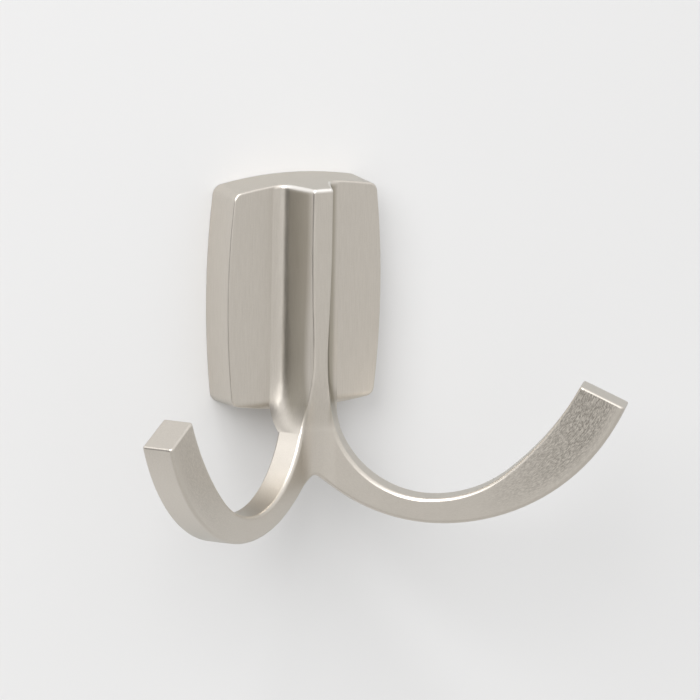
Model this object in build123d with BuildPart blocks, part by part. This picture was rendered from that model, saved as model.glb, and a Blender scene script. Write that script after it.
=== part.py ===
from build123d import *
from math import ceil, cos, radians, sin, tan
import os

# A double wall hook: one heavy casting with a bowed backplate, an upright rib that grows
# out of it and two mirrored arms that leave the foot of the rib, each bent like a letter J.
# The casting hangs on a bevelled bracket that is hidden inside its hollow back, and a
# set screw from below clamps the two together.
# Frame: millimetres, Z up, the wall is the plane Y = 0 and the hook stands out along minus Y.
# The origin is the middle of the backplate on the wall.

os.makedirs("parts", exist_ok=True)

# Backplate, seen from the front: corner to corner sizes, then how far each side bows out
plate_width = 35.2
plate_height = 47.2
plate_side_bow = 1.45
plate_end_bow = 1.8
plate_depth = 9.7
plate_corner_r = 2.4
plate_draft = 2.0
plate_edge_r = 0.5
plate_foot_roll = 3.0

# Hollow back
rim_side = 3.1
rim_end = 3.9
pocket_depth = 6.6
pocket_corner_r = 3.0

# Rib
rib_rise = 8.1
rib_top_half = 2.25
rib_waist_half = 1.56
waist_z = -12.0
rib_cove_reach = 7.5
rib_knee_out = 3.1
rib_knee_rise = 0.45
foot_knee_place = 0.8
rib_root_sink = 0.25
rib_top_r = 0.8
rib_edge_r = 0.62

# Arms: each lies in an upright plane turned outwards from the rib
arm_turn = 36.2
arm_root_set_back = 6.98
arm_root_width = 5.7
arm_tip_width = 6.96
crotch_r = 2.2
arm_edge_r = 0.8
arm_rear_bevel = 0.35
arm_tip_r = 0.5

# Outline of one arm in its own plane: distance out from the root line, then height
join_z = -29.0
throat_out = 7.2
bowl_out = 27.3
bowl_z = -42.95
bend_out = 44.1
bend_z = -36.9
tip_in_out = 60.3
tip_in_z = -16.6
tip_thickness = 10.7
tip_cut_angle = 24.3
bowl_thickness = 5.5
low_out = 28.9
heel_out = -3.0
heel_z = -32.2

# Bracket behind the plate
bracket_thickness = 5.0
bracket_bevel = 30.0
bracket_top_gap = 2.3
bracket_side_clearance = 0.25
wall_hole_r = 2.25
wall_hole_spacing = 20.0
wall_hole_centre_z = 1.0
wall_head_r = 4.3
ledge_clearance = 0.05
ledge_back_gap = 0.3

# Set screw
screw_r = 1.5
screw_length = 8.0
screw_y = -3.1
screw_recess = 0.6
screw_hole_clearance = 0.04
screw_socket_flat = 1.5
screw_socket_depth = 1.8

# Derived places
plate_front_y = -plate_depth
rib_front_y = plate_front_y - rib_rise
plate_top_z = plate_height / 2 + plate_end_bow
pocket_width = plate_width - 2 * rim_side
pocket_height = plate_height - 2 * rim_end
bracket_top = pocket_height / 2 - bracket_top_gap
bracket_corner_r = pocket_corner_r - bracket_side_clearance
bevel_slope = tan(radians(bracket_bevel))
ledge_foot_z = bracket_top - bracket_thickness * bevel_slope + ledge_clearance
screw_low_z = -plate_top_z + screw_recess
screw_point_height = screw_r * bevel_slope
bracket_foot_z = screw_low_z + screw_length - screw_y * bevel_slope
arm_dir = Vector(cos(radians(arm_turn)), -sin(radians(arm_turn)), 0)
arm_face = Vector(-sin(radians(arm_turn)), -cos(radians(arm_turn)), 0)
arm_origin = Vector(0, rib_front_y + arm_root_set_back, 0)
tip_out_out = tip_in_out + tip_thickness * cos(radians(tip_cut_angle))
tip_out_z = tip_in_z - tip_thickness * sin(radians(tip_cut_angle))
low_z = bowl_z - bowl_thickness
beyond = 80


def arm_front(out):
    """A point of the front face in plan, at a distance out from the root line of the arm."""
    return arm_origin + arm_face * (arm_root_width / 2) + arm_dir * out


def arm_rear(out):
    """The point of the rear face straight behind it: the arm widens towards its tip."""
    return arm_front(out) - arm_face * (arm_root_width + (arm_tip_width - arm_root_width) * out / tip_in_out)


def on_rear_half(edge):
    """True for an edge that lies behind the middle of its arm."""
    middle = edge @ 0.5
    return (Vector(abs(middle.X), middle.Y, 0) - arm_origin).dot(arm_face) < 0


def on_centre(face):
    """Where the line of a face, seen in plan, crosses the middle plane of the hook."""
    a = face(0)
    b = face(tip_in_out)
    return a.Y - a.X * (b.Y - a.Y) / (b.X - a.X)


valley_y = on_centre(arm_front)
ridge_y = on_centre(arm_rear)
foot_inner = arm_front(throat_out)
foot_outer = arm_rear(throat_out)
valley_r = foot_inner.X / sin(radians(arm_turn))


def flank_points(edge, bend, back, side):
    """Control points of a flank: nearly straight down to its knee, then a tight cove."""
    points = (edge, edge + (bend - edge) * 0.6, bend, bend, bend + (back - bend) * 0.3, back)
    return [(side * point.X, point.Y) for point in points]


# The bowed, round cornered outline of the backplate, on the wall
with BuildSketch(Plane.XZ) as outline:
    half_w = plate_width / 2
    half_h = plate_height / 2
    with BuildLine():
        ThreePointArc((-half_w, half_h), (0, half_h + plate_end_bow), (half_w, half_h))
        ThreePointArc((half_w, half_h), (half_w + plate_side_bow, 0), (half_w, -half_h))
        ThreePointArc((half_w, -half_h), (0, -half_h - plate_end_bow), (-half_w, -half_h))
        ThreePointArc((-half_w, -half_h), (-half_w - plate_side_bow, 0), (-half_w, half_h))
    make_face()
    fillet(outline.vertices(), plate_corner_r)

# The two arms, as far up as the plane where the rib flows into them
with BuildPart() as arms:
    with BuildSketch(Plane(origin=arm_origin - arm_face * beyond / 2, x_dir=arm_dir, z_dir=arm_face)):
        with BuildLine():
            TangentArc((bowl_out, bowl_z), (throat_out, join_z), tangent=(-1, 0))
            bend = TangentArc((bowl_out, bowl_z), (bend_out, bend_z), tangent=(1, 0))
            TangentArc(bend @ 1, (tip_in_out, tip_in_z), tangent=bend % 1)
            Line((tip_in_out, tip_in_z), (tip_out_out, tip_out_z))
            TangentArc((low_out, low_z), (tip_out_out, tip_out_z), tangent=(1, 0))
            TangentArc((low_out, low_z), (heel_out, heel_z), tangent=(-1, 0))
            Line((heel_out, heel_z), (heel_out, join_z))
            Line((heel_out, join_z), (throat_out, join_z))
        make_face()
    extrude(amount=beyond)
    with BuildSketch(Plane.XY.offset(-beyond)) as plan:
        front_end = arm_front(beyond)
        rear_end = arm_rear(beyond)
        with BuildLine():
            Polyline(
                (0, valley_y),
                (front_end.X, front_end.Y),
                (rear_end.X, rear_end.Y),
                (0, ridge_y),
                (-rear_end.X, rear_end.Y),
                (-front_end.X, front_end.Y),
                close=True,
            )
        make_face()
        fillet(plan.vertices().sort_by_distance((0, valley_y, -beyond))[0], valley_r)
    extrude(amount=2 * beyond, mode=Mode.INTERSECT)
    split(bisect_by=Plane.YZ, keep=Keep.TOP)
    mirror(about=Plane.YZ)
    middle_edges = arms.edges().filter_by(lambda e: abs((e @ 0.5).X) < 0.01 and e.length > crotch_r)
    fillet(middle_edges.sort_by(Axis.Z)[0], crotch_r)
    long_edges = arms.edges().filter_by(lambda e: e.length > 3 * bowl_thickness)
    fillet(long_edges.filter_by(lambda e: not on_rear_half(e)), arm_edge_r)
    long_edges = arms.edges().filter_by(lambda e: e.length > 3 * bowl_thickness)
    chamfer(long_edges.filter_by(on_rear_half), arm_rear_bevel)
    top_faces = arms.faces().filter_by(lambda f: f.normal_at().Z > 0.8)
    fillet(top_faces.filter_by(lambda f: abs(f.center().X) > arm_dir.X * tip_in_out).edges(), arm_tip_r)

# The rib, lofted through level sections an even step apart: it narrows to a waist and then
# opens into the two arms. Each row: the edge of the front strip, how far the strip's two
# halves turn away from each other there, the knee of the flank, and where the flank ends.
# Above the waist only the strip's width changes. Below it each row is a share of the way from
# the waist to the foot: for the strip's half width, its set back, the turn, the knee, and the
# end of the flank sideways and forwards.
root = Vector(rib_top_half + rib_cove_reach, plate_front_y + rib_root_sink)
knee = Vector(rib_top_half + rib_knee_out, plate_front_y - rib_knee_rise)
foot_knee = foot_inner + (foot_outer - foot_inner) * foot_knee_place
rib_step = (waist_z - join_z) / 3
waist = Vector(rib_waist_half, rib_front_y)
plain_rows = ceil((plate_top_z + 1 - waist_z) / rib_step) - 3
rib_rows = []
for narrowing in (0,) * plain_rows + (0.16, 0.41, 0.72, 1):
    half_strip = rib_top_half + (rib_waist_half - rib_top_half) * narrowing
    rib_rows.append((Vector(half_strip, rib_front_y), 0, knee, root))
for wider, set_back, turned, bent, sideways, forwards in (
    (0.11, 0.23, 0.14, 0.08, 0.25, 0),
    (0.46, 1.27, 0.58, 0.45, 0.65, 0.06),
    (1, 1, 1, 1, 1, 1),
):
    strip_edge = waist + Vector((foot_inner - waist).X * wider, (foot_inner - waist).Y * set_back)
    flank_end = root + Vector((foot_outer - root).X * sideways, (foot_outer - root).Y * forwards)
    rib_rows.append((strip_edge, arm_turn * turned, knee + (foot_knee - knee) * bent, flank_end))
with BuildPart() as rib:
    for level, (edge, turn, bend, back) in enumerate(reversed(rib_rows)):
        with BuildSketch(Plane.XY.offset(join_z + rib_step * level)):
            with BuildLine():
                if turn > 0:
                    ThreePointArc((-edge.X, edge.Y), (0, edge.Y + edge.X * tan(radians(turn / 2))), (edge.X, edge.Y))
                else:
                    Line((-edge.X, edge.Y), (edge.X, edge.Y))
                Bezier(*flank_points(edge, bend, back, 1))
                Line((back.X, back.Y), (0, ridge_y))
                Line((0, ridge_y), (-back.X, back.Y))
                Bezier(*reversed(flank_points(edge, bend, back, -1)))
            make_face()
    loft()
    upright = rib.edges().filter_by(lambda e: e.length > plate_height and abs((e @ 0.5).X) > 0.5)
    fillet(upright.filter_by(lambda e: (e @ 0.5).Y < rib_front_y + 2), rib_edge_r)

# Trimmer with the plate's own outline, so that the rib ends flush with the plate's top
with BuildPart() as rib_trimmer:
    extrude(outline.sketch, amount=plate_depth + rib_rise + 4, taper=plate_draft)
    with Locations((0, 0, waist_z - beyond / 2)):
        Box(beyond, beyond, beyond)

with BuildPart() as trimmed_rib:
    add(rib.part)
    add(rib_trimmer.part, mode=Mode.INTERSECT)
    crown = trimmed_rib.faces().sort_by(Axis.Z)[-1]
    crown_edges = crown.edges().filter_by(lambda e: e.center().Y < plate_front_y - 0.2)
    fillet(crown_edges, rib_top_r)

# The hook casting: plate, rib, foot and arms as one piece, then its hollow back
with BuildPart() as hook_casting:
    extrude(outline.sketch, amount=plate_depth, taper=plate_draft)
    with BuildSketch(Plane.YZ.offset(-beyond / 2)):
        with BuildLine():
            RadiusArc(
                (plate_front_y, -plate_top_z + plate_foot_roll),
                (plate_front_y + plate_foot_roll, -plate_top_z),
                -plate_foot_roll,
            )
            Polyline(
                (plate_front_y + plate_foot_roll, -plate_top_z),
                (plate_front_y + plate_foot_roll, -beyond / 2),
                (beyond / 2, -beyond / 2),
                (beyond / 2, beyond / 2),
                (plate_front_y, beyond / 2),
                (plate_front_y, -plate_top_z + plate_foot_roll),
            )
        make_face()
    extrude(amount=beyond, mode=Mode.INTERSECT)
    fillet(hook_casting.faces().sort_by(Axis.Y)[0].edges(), plate_edge_r)
    add(trimmed_rib.part)
    add(arms.part)

    with BuildSketch(Plane.XZ):
        RectangleRounded(pocket_width, pocket_height, pocket_corner_r)
    extrude(amount=pocket_depth, mode=Mode.SUBTRACT)
    with BuildSketch(Plane.YZ.offset(-pocket_width / 2 - 0.5)):
        with BuildLine():
            Polyline(
                (-ledge_back_gap, pocket_height / 2 + 1),
                (-ledge_back_gap, ledge_foot_z + ledge_back_gap * bevel_slope),
                (-pocket_depth - 0.5, ledge_foot_z + (pocket_depth + 0.5) * bevel_slope),
                (-pocket_depth - 0.5, pocket_height / 2 + 1),
                close=True,
            )
        make_face()
    extrude(amount=pocket_width + 1)
    with Locations(Location((0, screw_y, -plate_top_z - 1))):
        Cylinder(
            screw_r + screw_hole_clearance,
            plate_top_z + 1 - pocket_height / 2 + 1,
            align=(Align.CENTER, Align.CENTER, Align.MIN),
            mode=Mode.SUBTRACT,
        )

hook_casting.part.label = "hook_casting"
export_step(hook_casting.part, "parts/hook_casting.step")

# The bracket that is screwed to the wall: its top and bottom edges are bevelled so that its
# front is taller than its back. The ledge in the casting hooks behind the top edge, and the
# point of the set screw presses on the bottom edge.
with BuildPart() as mounting_bracket:
    with BuildSketch(Plane.YZ.offset(-pocket_width / 2 + bracket_side_clearance)):
        with BuildLine():
            Polyline(
                (0, bracket_top - bracket_thickness * bevel_slope),
                (-bracket_thickness, bracket_top),
                (-bracket_thickness, bracket_foot_z - bracket_thickness * bevel_slope),
                (0, bracket_foot_z),
                close=True,
            )
        make_face()
    extrude(amount=pocket_width - 2 * bracket_side_clearance)
    corners = mounting_bracket.edges().filter_by(lambda e: e.length < bracket_thickness * 1.5)
    fillet(corners, bracket_corner_r)
    with Locations(Plane(origin=(0, -bracket_thickness, wall_hole_centre_z), x_dir=(1, 0, 0), z_dir=(0, -1, 0))):
        with GridLocations(1, wall_hole_spacing, 1, 2):
            CounterSinkHole(wall_hole_r, wall_head_r, counter_sink_angle=90)
mounting_bracket.part.label = "mounting_bracket"
export_step(mounting_bracket.part, "parts/mounting_bracket.step")

# Set screw, pointed end up, with a hexagonal socket in the end that is reached from below
with BuildPart() as set_screw:
    with Locations((0, screw_y, screw_low_z)):
        Cylinder(screw_r, screw_length - screw_point_height, align=(Align.CENTER, Align.CENTER, Align.MIN))
    with Locations((0, screw_y, screw_low_z + screw_length - screw_point_height)):
        Cone(screw_r, 0, screw_point_height, align=(Align.CENTER, Align.CENTER, Align.MIN))
    with BuildSketch(Plane.XY.offset(screw_low_z)):
        with Locations((0, screw_y)):
            RegularPolygon(screw_socket_flat / 2, 6, major_radius=False)
    extrude(amount=screw_socket_depth, mode=Mode.SUBTRACT)
set_screw.part.label = "set_screw"
export_step(set_screw.part, "parts/set_screw.step")
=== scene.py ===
import bmesh
import bpy
from math import cos, pi, radians, sin
from mathutils import Matrix, Vector


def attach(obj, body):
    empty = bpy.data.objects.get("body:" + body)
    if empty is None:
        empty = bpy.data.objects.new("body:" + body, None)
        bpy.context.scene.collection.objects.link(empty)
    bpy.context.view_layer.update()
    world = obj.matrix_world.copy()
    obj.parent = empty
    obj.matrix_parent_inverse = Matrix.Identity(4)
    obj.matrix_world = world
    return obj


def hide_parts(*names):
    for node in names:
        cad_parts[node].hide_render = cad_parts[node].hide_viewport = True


# Double wall hook in brushed satin nickel on a pale wall. Metres, the CAD frame: the wall is
# the plane y = 0 and the hook stands out along minus y.

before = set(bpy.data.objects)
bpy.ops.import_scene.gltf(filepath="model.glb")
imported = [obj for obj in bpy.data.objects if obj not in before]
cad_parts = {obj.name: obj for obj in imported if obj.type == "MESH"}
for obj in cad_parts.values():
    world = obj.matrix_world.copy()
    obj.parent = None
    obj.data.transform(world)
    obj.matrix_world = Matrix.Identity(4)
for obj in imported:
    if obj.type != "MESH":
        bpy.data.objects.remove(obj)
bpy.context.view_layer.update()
MM = 0.001

# Camera, from the outline of the object in the photograph
CAMERA_AZIMUTH = radians(28.026)
CAMERA_ELEVATION = radians(11.535)
CAMERA_ROLL = radians(0.944)
CAMERA_DISTANCE = 2.7999
CAMERA_TARGET = Vector((5.809 * MM, -20 * MM, -10.65 * MM))
CAMERA_NEAREST = 0.05
CAMERA_FARTHEST = 20
FOCAL_PIXELS = 12951.4
PICTURE_PIXELS = 700
SENSOR_MM = 36

# The arms in the CAD frame: how far they turn out, and the middle of their bend
ARM_TURN = radians(36.2)
ARM_ROOT_Y = -10.82 * MM
ARM_BEND_OUT = 28.9 * MM
ARM_BEND_Z = -3.9 * MM
ARM_BEND_R = 44.6 * MM

# The set screw with its thread
SCREW_R = 1.5 * MM
SCREW_Y = -3.1 * MM
SCREW_LOW_Z = -24.8 * MM
SCREW_LENGTH = 8 * MM
SCREW_POINT = 0.866 * MM
SCREW_PITCH = 0.5 * MM
SCREW_THREAD_DEPTH = 0.27 * MM
SCREW_SOCKET_FLAT = 1.5 * MM
SCREW_SOCKET_DEPTH = 1.8 * MM
SCREW_SIDES = 36
ROWS_PER_TURN = 6

# The wall, and the opening in it behind the backplate
WALL_GAP = 0.1 * MM
WALL_SPREAD = 160
HOLE_STEPS = 16
CORNER_TURNS = (radians(22.5), radians(45), radians(67.5))
PLATE_HALF_WIDTH = 17.3 * MM
PLATE_HALF_HEIGHT = 23.3 * MM
PLATE_SIDE_BOW = 1.35 * MM
PLATE_END_BOW = 1.7 * MM
PLATE_CORNER = 2.4 * MM
WALL_DARK = (0.776, 0.777, 0.782)
WALL_LIGHT = (0.796, 0.797, 0.802)

# Nickel colours, and how strongly the worn grain, the painted shade and the painted highlight
# show
NICKEL_DARK = (0.635, 0.592, 0.533)
NICKEL_LIGHT = (0.71, 0.666, 0.607)
NICKEL_WORN_AND_SHADED = (0.22, 0.2, 0.175)
NICKEL_SHADE = (0.13, 0.1, 0.03)
# Colour of the painted highlight on the rounded top edge of the rib
NICKEL_PAINTED_HIGHLIGHT = (0.97, 0.94, 0.9)
GRAZING_TINT = (0.76, 0.78, 0.78)
# Worn grain on the arms' tips, partly painted shade: the left arm gets a smaller share of it
# than the right
TIP_WEAR_AND_SHADE = 0.8
LEFT_TIP_SHARE = 0.25
# How dark the painted shade on the rib's flanks and the right cove is
FLANK_PAINTED_SHADE = 0.4

# Nickel brushing: marks per metre along three axes, their share of the finish, and its gloss
PLATE_STREAKS = (3600, 3600, 200)
ARM_STREAKS = (6200, 6200, 1200)
STREAK_SHARE = 0.6
FINE_GRAIN = 4200
BROAD_CLOUDS = 110
NICKEL_ROUGHNESS = (0.32, 0.4)
CLOUD_ROUGHNESS = 0.02
NICKEL_RELIEF = 0.01 * MM

# Where the finish of the casting changes, and where shade and a highlight are painted on it:
# each pair is where a fade starts and ends
STREAKS_TURN = (-32 * MM, -24 * MM)
UPRIGHT_FACES = (0.15, 0.4)
LEFT_TO_RIGHT = (-10 * MM, 10 * MM)
TOWARDS_TIP = (38 * MM, 60 * MM)
TOWARDS_OUTER_EDGE = (ARM_BEND_R - 3.5 * MM, ARM_BEND_R - 1 * MM)
WORN_STREAKS = (0.4, 0.6)
FLANK_NEAR = (2.3 * MM, 3.0 * MM)
FLANK_FAR = (5 * MM, 6 * MM)
COVE_NEAR = (4 * MM, 5 * MM)
COVE_FAR = (6.6 * MM, 7.6 * MM)
UNDER_CROWN = (23.4 * MM, 24.2 * MM)
OVER_FOOT = (-28 * MM, -23 * MM)
PLATE_FRONT = (-3 * MM, -2 * MM)
CROWN_HEIGHT = (23.8 * MM, 24.4 * MM)
CROWN_FRONT = (-0.8 * MM, 0.2 * MM)
CROWN_WIDTH = (5 * MM, 7 * MM)
CROWN_ROUNDING = (0.88, 0.97)

# Studio light by direction: each pair is where a fade starts and ends on the unit sphere
WORLD_LEVEL = 0.86
WORLD_LOW = (0.74, 0.73, 0.71)
WORLD_HIGH = (1.0, 1.0, 1.0)
LOW_TO_HIGH = (-0.6, 0.7)
LEFT_DARKNESS = 0.95
DARK_LEFT = (-0.93, -0.72)
DARK_TOP = (0.1, 0.35)
TOP_LIFT = 0.6
LIFT_HEIGHT = (0.2, 0.7)
LIFT_ACROSS = (-0.3, 0.5)
LIFT_RIGHT_SHARE = 0.4

# Name, place, size and power of each lamp
LAMPS = (
    ("key_lamp", (-1.2, -1.2, 0.95), 1.05, 14),
    ("top_lamp", (-0.45, -0.4, 1.3), 0.5, 5),
)


def add_camera():
    """The camera at the photograph's viewing angle."""
    back = Vector((
        -sin(CAMERA_AZIMUTH) * cos(CAMERA_ELEVATION),
        -cos(CAMERA_AZIMUTH) * cos(CAMERA_ELEVATION),
        sin(CAMERA_ELEVATION),
    ))
    level = Vector((cos(CAMERA_AZIMUTH), -sin(CAMERA_AZIMUTH), 0))
    upright = back.cross(level)
    right = level * cos(CAMERA_ROLL) + upright * sin(CAMERA_ROLL)
    up = upright * cos(CAMERA_ROLL) - level * sin(CAMERA_ROLL)
    data = bpy.data.cameras.new("camera")
    data.sensor_width = SENSOR_MM
    data.lens = FOCAL_PIXELS / PICTURE_PIXELS * SENSOR_MM
    data.clip_start = CAMERA_NEAREST
    data.clip_end = CAMERA_FARTHEST
    camera = bpy.data.objects.new("camera", data)
    bpy.context.collection.objects.link(camera)
    turn = Matrix((right, up, back)).transposed().to_4x4()
    camera.matrix_world = Matrix.Translation(CAMERA_TARGET + back * CAMERA_DISTANCE) @ turn
    bpy.context.scene.camera = camera


def new_material(name):
    """An empty node material with its output and a principled shader joined to it."""
    material = bpy.data.materials.new(name)
    material.use_nodes = True
    tree = material.node_tree
    tree.nodes.clear()
    output = tree.nodes.new("ShaderNodeOutputMaterial")
    shader = tree.nodes.new("ShaderNodeBsdfPrincipled")
    tree.links.new(shader.outputs["BSDF"], output.inputs["Surface"])
    return material, tree, shader, output


def position(tree):
    """The place on the object, in metres."""
    return tree.nodes.new("ShaderNodeTexCoord").outputs["Object"]


def axes(tree, vector):
    """The three parts of a vector socket."""
    parts = tree.nodes.new("ShaderNodeSeparateXYZ")
    tree.links.new(vector, parts.inputs["Vector"])
    return parts.outputs["X"], parts.outputs["Y"], parts.outputs["Z"]


def noise(tree, vector, scale, detail=3.0, roughness=0.55):
    """A noise texture read at a vector socket."""
    node = tree.nodes.new("ShaderNodeTexNoise")
    node.inputs["Scale"].default_value = scale
    node.inputs["Detail"].default_value = detail
    node.inputs["Roughness"].default_value = roughness
    tree.links.new(vector, node.inputs["Vector"])
    return node.outputs["Fac"]


def stretched(tree, vector, scale):
    """A vector scaled differently along its three axes, for marks that run along one of them."""
    node = tree.nodes.new("ShaderNodeMapping")
    node.inputs["Scale"].default_value = scale
    tree.links.new(vector, node.inputs["Vector"])
    return node.outputs["Vector"]


def math_node(tree, operation, *values):
    """A math node on sockets or plain numbers."""
    node = tree.nodes.new("ShaderNodeMath")
    node.operation = operation
    for socket, value in zip(node.inputs, values):
        if isinstance(value, (int, float)):
            socket.default_value = value
        else:
            tree.links.new(value, socket)
    return node.outputs[0]


def times(tree, *values):
    """The product of sockets and plain numbers."""
    product = values[0]
    for value in values[1:]:
        product = math_node(tree, "MULTIPLY", product, value)
    return product


def spread(tree, value, low, high, from_low=0.3, from_high=0.7):
    """A value moved from one range to another, and held at its ends."""
    node = tree.nodes.new("ShaderNodeMapRange")
    node.inputs["From Min"].default_value = from_low
    node.inputs["From Max"].default_value = from_high
    node.inputs["To Min"].default_value = low
    node.inputs["To Max"].default_value = high
    tree.links.new(value, node.inputs["Value"])
    return node.outputs["Result"]


def mixed(tree, factor, first, second):
    """A mix of two values by a factor socket."""
    node = tree.nodes.new("ShaderNodeMix")
    tree.links.new(factor, node.inputs["Factor"])
    tree.links.new(first, node.inputs["A"])
    tree.links.new(second, node.inputs["B"])
    return node.outputs["Result"]


def blend_colours(tree, factor, first, second):
    """A mix of two colours, written out or as sockets, by a factor socket."""
    node = tree.nodes.new("ShaderNodeMix")
    node.data_type = "RGBA"
    for name, colour in (("A", first), ("B", second)):
        if isinstance(colour, tuple):
            node.inputs[name].default_value = (*colour, 1)
        else:
            tree.links.new(colour, node.inputs[name])
    tree.links.new(factor, node.inputs["Factor"])
    return node.outputs["Result"]


def bump(tree, shader, height, distance, strength):
    """Relief from a height socket, in metres."""
    node = tree.nodes.new("ShaderNodeBump")
    node.inputs["Strength"].default_value = strength
    node.inputs["Distance"].default_value = distance
    tree.links.new(height, node.inputs["Height"])
    tree.links.new(node.outputs["Normal"], shader.inputs["Normal"])


def arm_places(tree, place):
    """Places that follow an arm: how far out, how far from the middle of its bend, how high,
    and a vector of distance from the bend, place across the arm and way along it."""
    x, y, z = axes(tree, place)
    side = math_node(tree, "ABSOLUTE", x)
    ahead = math_node(tree, "SUBTRACT", ARM_ROOT_Y, y)
    out = math_node(
        tree, "MULTIPLY_ADD", side, cos(ARM_TURN), times(tree, ahead, sin(ARM_TURN))
    )
    across = math_node(
        tree, "MULTIPLY_ADD", side, -sin(ARM_TURN), times(tree, ahead, cos(ARM_TURN))
    )
    level = math_node(tree, "SUBTRACT", out, ARM_BEND_OUT)
    lift = math_node(tree, "SUBTRACT", z, ARM_BEND_Z)
    squares = math_node(tree, "MULTIPLY_ADD", level, level, times(tree, lift, lift))
    reach = math_node(tree, "SQRT", squares)
    along = times(tree, math_node(tree, "ARCTAN2", lift, level), ARM_BEND_R)
    joined = tree.nodes.new("ShaderNodeCombineXYZ")
    for socket, value in zip(joined.inputs, (reach, across, along)):
        tree.links.new(value, socket)
    return {
        "place": joined.outputs["Vector"],
        "x": x,
        "side": side,
        "ahead": ahead,
        "out": out,
        "reach": reach,
        "height": z,
    }


def worn_and_shaded_tips(tree, arm, arm_streaks, facing_up):
    """How worn the flat sides of the arms are: dark grain that grows towards the tips. Its being
    stronger on the right arm than on the left is painted shade.
    """
    return times(
        tree,
        spread(tree, math_node(tree, "ABSOLUTE", facing_up), 1, 0, *UPRIGHT_FACES),
        spread(tree, arm["x"], LEFT_TIP_SHARE, 1, *LEFT_TO_RIGHT),
        spread(tree, arm["out"], 0, 1, *TOWARDS_TIP),
        spread(tree, arm["reach"], 1, 0.15, *TOWARDS_OUTER_EDGE),
        spread(tree, arm_streaks, 1, 0, *WORN_STREAKS),
        TIP_WEAR_AND_SHADE,
    )


def painted_flank_shade(tree, arm):
    """Painted shade on the rib's flanks and on the cove at its right, between foot and crown."""
    flank = times(
        tree,
        spread(tree, arm["side"], 0, 1, *FLANK_NEAR),
        spread(tree, arm["side"], 1, 0, *FLANK_FAR),
    )
    right_cove = times(
        tree,
        spread(tree, arm["x"], 0, 1, *COVE_NEAR),
        spread(tree, arm["x"], 1, 0, *COVE_FAR),
    )
    return times(
        tree,
        math_node(tree, "MAXIMUM", flank, right_cove),
        spread(tree, arm["height"], 1, 0, *UNDER_CROWN),
        spread(tree, arm["height"], 0, 1, *OVER_FOOT),
        spread(tree, arm["ahead"], 0, 1, *PLATE_FRONT),
        FLANK_PAINTED_SHADE,
    )


def painted_crown_highlight(tree, arm, facing_up):
    """A painted highlight on the rounded edge at the top of the rib."""
    return times(
        tree,
        spread(tree, arm["height"], 0, 1, *CROWN_HEIGHT),
        spread(tree, arm["ahead"], 0, 1, *CROWN_FRONT),
        spread(tree, arm["side"], 1, 0, *CROWN_WIDTH),
        spread(tree, facing_up, 1, 0, *CROWN_ROUNDING),
    )


def satin_nickel():
    """Satin nickel: faint upright brushing on the plate, grain along the arms and worn tips,
    with painted shade on the rib's flanks and partly on the tips, and a painted highlight on the
    rib's crown.
    """
    material, tree, shader, _ = new_material("satin_nickel")
    place = position(tree)
    arm = arm_places(tree, place)
    plate_streaks = noise(tree, stretched(tree, place, PLATE_STREAKS), 1.0, 3.0, 0.5)
    arm_streaks = noise(tree, stretched(tree, arm["place"], ARM_STREAKS), 1.0, 4.0, 0.7)
    on_arms = spread(tree, arm["height"], 1, 0, *STREAKS_TURN)
    streaks = mixed(tree, on_arms, plate_streaks, arm_streaks)
    grain = noise(tree, place, FINE_GRAIN, 2.0, 0.6)
    clouds = noise(tree, place, BROAD_CLOUDS, 2.0, 0.5)
    marks = math_node(
        tree, "ADD", times(tree, streaks, STREAK_SHARE), times(tree, grain, 1 - STREAK_SHARE)
    )
    normal = tree.nodes.new("ShaderNodeNewGeometry").outputs["Normal"]
    _, _, facing_up = axes(tree, normal)

    colour = blend_colours(tree, spread(tree, marks, 0, 1), NICKEL_DARK, NICKEL_LIGHT)
    # Worn grain towards the tips, partly painted shade: darker on the right arm than on the
    # left.
    worn = worn_and_shaded_tips(tree, arm, arm_streaks, facing_up)
    colour = blend_colours(tree, worn, colour, NICKEL_WORN_AND_SHADED)
    # Painted shade: the rib's flanks and the cove at its right are darkened in the colour.
    colour = blend_colours(tree, painted_flank_shade(tree, arm), colour, NICKEL_SHADE)
    # Painted highlight: the rounded edge at the top of the rib is lightened in the colour.
    crown = painted_crown_highlight(tree, arm, facing_up)
    colour = blend_colours(tree, crown, colour, NICKEL_PAINTED_HIGHLIGHT)
    tree.links.new(colour, shader.inputs["Base Color"])

    clouding = spread(tree, clouds, -CLOUD_ROUGHNESS, CLOUD_ROUGHNESS)
    rough = math_node(tree, "ADD", spread(tree, marks, *NICKEL_ROUGHNESS), clouding)
    tree.links.new(rough, shader.inputs["Roughness"])
    shader.inputs["Metallic"].default_value = 1.0
    shader.inputs["Specular Tint"].default_value = (*GRAZING_TINT, 1)
    bump(tree, shader, marks, NICKEL_RELIEF, 0.3)
    return material


def zinc_plate():
    """Bright zinc plate on a pressed bracket, with faint clouds and rolling marks."""
    material, tree, shader, _ = new_material("zinc_plate")
    place = position(tree)
    rolled = noise(tree, stretched(tree, place, (300, 4200, 4200)), 1.0, 3.0)
    clouds = noise(tree, place, 160, 4.0, 0.6)
    colour = blend_colours(
        tree, spread(tree, clouds, 0, 1), (0.55, 0.57, 0.6), (0.68, 0.69, 0.68)
    )
    tree.links.new(colour, shader.inputs["Base Color"])
    tree.links.new(spread(tree, rolled, 0.28, 0.45), shader.inputs["Roughness"])
    shader.inputs["Metallic"].default_value = 1.0
    bump(tree, shader, rolled, 0.02 * MM, 0.3)
    return material


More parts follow.
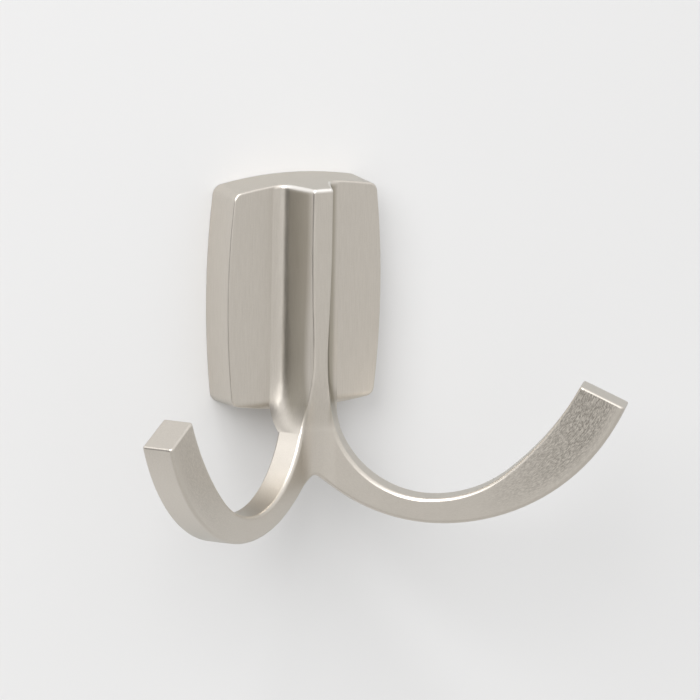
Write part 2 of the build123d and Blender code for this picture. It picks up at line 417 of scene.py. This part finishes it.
def black_oxide():
    """Dark oiled steel of the set screw."""
    material, tree, shader, _ = new_material("black_oxide")
    place = position(tree)
    turned = noise(tree, stretched(tree, place, (400, 400, 9000)), 1.0, 2.0)
    worn = noise(tree, place, 1400, 3.0)
    colour = blend_colours(
        tree, spread(tree, worn, 0, 1), (0.03, 0.03, 0.034), (0.1, 0.1, 0.105)
    )
    tree.links.new(colour, shader.inputs["Base Color"])
    tree.links.new(spread(tree, turned, 0.3, 0.5), shader.inputs["Roughness"])
    shader.inputs["Metallic"].default_value = 1.0
    bump(tree, shader, turned, 0.01 * MM, 0.4)
    return material


def dress(node, material):
    """Gives a CAD node its material."""
    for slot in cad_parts[node].material_slots:
        slot.material = material


def socket_radius(turn):
    """How far the wall of the hexagon socket is from the screw's axis in a direction."""
    return SCREW_SOCKET_FLAT / 2 / cos((turn + pi / 6) % (pi / 3) - pi / 6)


def thread_radius(height, shank):
    """The radius of the threaded shank at a height, as a function of direction. The thread runs
    out into a chamfer at both ends."""
    room = SCREW_R - SCREW_THREAD_DEPTH + min(height, shank - height)

    def radius(turn):
        phase = (height / SCREW_PITCH - turn / (2 * pi)) % 1
        return min(SCREW_R - SCREW_THREAD_DEPTH * (1 - abs(2 * phase - 1)), room)

    return radius


def screw_ring(height, radius_at):
    """One level ring of points round the screw's axis."""
    ring = []
    for step in range(SCREW_SIDES):
        turn = 2 * pi * step / SCREW_SIDES
        radius = radius_at(turn)
        ring.append((radius * cos(turn), SCREW_Y + radius * sin(turn), SCREW_LOW_Z + height))
    return ring


def add_set_screw(material):
    """The pointed set screw: a hexagon socket below, a helical thread and a cone above."""
    shank = SCREW_LENGTH - SCREW_POINT
    rows = round(shank / SCREW_PITCH * ROWS_PER_TURN)
    heights = [shank * row / rows for row in range(rows + 1)]
    rings = [screw_ring(SCREW_SOCKET_DEPTH, socket_radius), screw_ring(0, socket_radius)]
    rings += [screw_ring(height, thread_radius(height, shank)) for height in heights]
    points = [point for ring in rings for point in ring]

    steps = [(step, (step + 1) % SCREW_SIDES) for step in range(SCREW_SIDES)]
    starts = [row * SCREW_SIDES for row in range(len(rings))]
    faces = [
        (low + step, low + after, high + after, high + step)
        for low, high in zip(starts, starts[1:])
        for step, after in steps
    ]
    for start, height in ((starts[0], SCREW_SOCKET_DEPTH), (starts[-1], SCREW_LENGTH)):
        middle = len(points)
        points.append((0, SCREW_Y, SCREW_LOW_Z + height))
        faces += [(start + step, start + after, middle) for step, after in steps]

    mesh = bpy.data.meshes.new("set_screw_threaded")
    mesh.from_pydata(points, [], faces)
    shell = bmesh.new()
    shell.from_mesh(mesh)
    bmesh.ops.recalc_face_normals(shell, faces=shell.faces)
    shell.to_mesh(mesh)
    shell.free()
    mesh.materials.append(material)
    screw = bpy.data.objects.new("set_screw_threaded", mesh)
    bpy.context.collection.objects.link(screw)
    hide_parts("set_screw")
    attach(screw, "root")


def hole_outline():
    """The outline of the opening in the wall: that of the backplate, a little smaller."""
    steps = [2 * i / HOLE_STEPS - 1 for i in range(HOLE_STEPS + 1)]
    side = [
        (PLATE_HALF_WIDTH + PLATE_SIDE_BOW * (1 - t * t), t * (PLATE_HALF_HEIGHT - PLATE_CORNER))
        for t in steps
    ]
    end = [
        (-t * (PLATE_HALF_WIDTH - PLATE_CORNER), PLATE_HALF_HEIGHT + PLATE_END_BOW * (1 - t * t))
        for t in steps
    ]
    corner = [
        (
            PLATE_HALF_WIDTH + PLATE_CORNER * (cos(turn) - 1),
            PLATE_HALF_HEIGHT + PLATE_CORNER * (sin(turn) - 1),
        )
        for turn in CORNER_TURNS
    ]
    half = side + corner + end + [(-x, z) for x, z in reversed(corner)]
    return half + [(-x, -z) for x, z in half]


def wall_paint():
    """Matt pale paint that is clear when it is seen from behind."""
    material, tree, shader, output = new_material("wall_paint")
    shade = noise(tree, position(tree), 2.0, 2.0)
    colour = blend_colours(tree, spread(tree, shade, 0, 1), WALL_DARK, WALL_LIGHT)
    tree.links.new(colour, shader.inputs["Base Color"])
    shader.inputs["Roughness"].default_value = 0.9
    shader.inputs["Specular IOR Level"].default_value = 0.1
    clear = tree.nodes.new("ShaderNodeBsdfTransparent")
    side = tree.nodes.new("ShaderNodeNewGeometry")
    choose = tree.nodes.new("ShaderNodeMixShader")
    tree.links.new(side.outputs["Backfacing"], choose.inputs["Fac"])
    tree.links.new(shader.outputs["BSDF"], choose.inputs[1])
    tree.links.new(clear.outputs["BSDF"], choose.inputs[2])
    tree.links.new(choose.outputs["Shader"], output.inputs["Surface"])
    return material


def add_wall():
    """The pale wall, cut out behind the plate so that light reaches the hollow back."""
    hole = hole_outline()
    count = len(hole)
    points = [(x * grow, WALL_GAP, z * grow) for grow in (WALL_SPREAD, 1) for x, z in hole]
    faces = [(i, (i + 1) % count, (i + 1) % count + count, i + count) for i in range(count)]
    mesh = bpy.data.meshes.new("wall")
    mesh.from_pydata(points, [], faces)
    mesh.materials.append(wall_paint())
    wall = bpy.data.objects.new("wall", mesh)
    bpy.context.collection.objects.link(wall)


def add_softbox(name, place, size, power):
    """A square lamp that faces the hook."""
    data = bpy.data.lights.new(name, "AREA")
    data.shape = "SQUARE"
    data.size = size
    data.energy = power
    lamp = bpy.data.objects.new(name, data)
    lamp.location = place
    lamp.rotation_mode = "QUATERNION"
    lamp.rotation_quaternion = (-Vector(place)).to_track_quat("-Z", "Y")
    bpy.context.collection.objects.link(lamp)


def add_world():
    """Soft light from all round: bright above, darker below and far left at eye height."""
    world = bpy.data.worlds.new("studio")
    world.use_nodes = True
    tree = world.node_tree
    background = tree.nodes["Background"]
    x, _, z = axes(tree, tree.nodes.new("ShaderNodeTexCoord").outputs["Generated"])
    colour = blend_colours(tree, spread(tree, z, 0, 1, *LOW_TO_HIGH), WORLD_LOW, WORLD_HIGH)
    dark = times(
        tree,
        spread(tree, x, 1, 0, *DARK_LEFT),
        spread(tree, z, 1, 0, *DARK_TOP),
        LEFT_DARKNESS,
    )
    lift = times(
        tree,
        spread(tree, z, 0, 1, *LIFT_HEIGHT),
        spread(tree, x, 1, LIFT_RIGHT_SHARE, *LIFT_ACROSS),
        TOP_LIFT,
    )
    strength = math_node(tree, "ADD", math_node(tree, "SUBTRACT", 1, dark), lift)
    tree.links.new(colour, background.inputs["Color"])
    tree.links.new(times(tree, strength, WORLD_LEVEL), background.inputs["Strength"])
    bpy.context.scene.world = world


dress("hook_casting", satin_nickel())
dress("mounting_bracket", zinc_plate())
add_set_screw(black_oxide())
add_wall()
add_world()
for lamp_facts in LAMPS:
    add_softbox(*lamp_facts)
add_camera()
bpy.context.scene.view_settings.view_transform = "Standard"
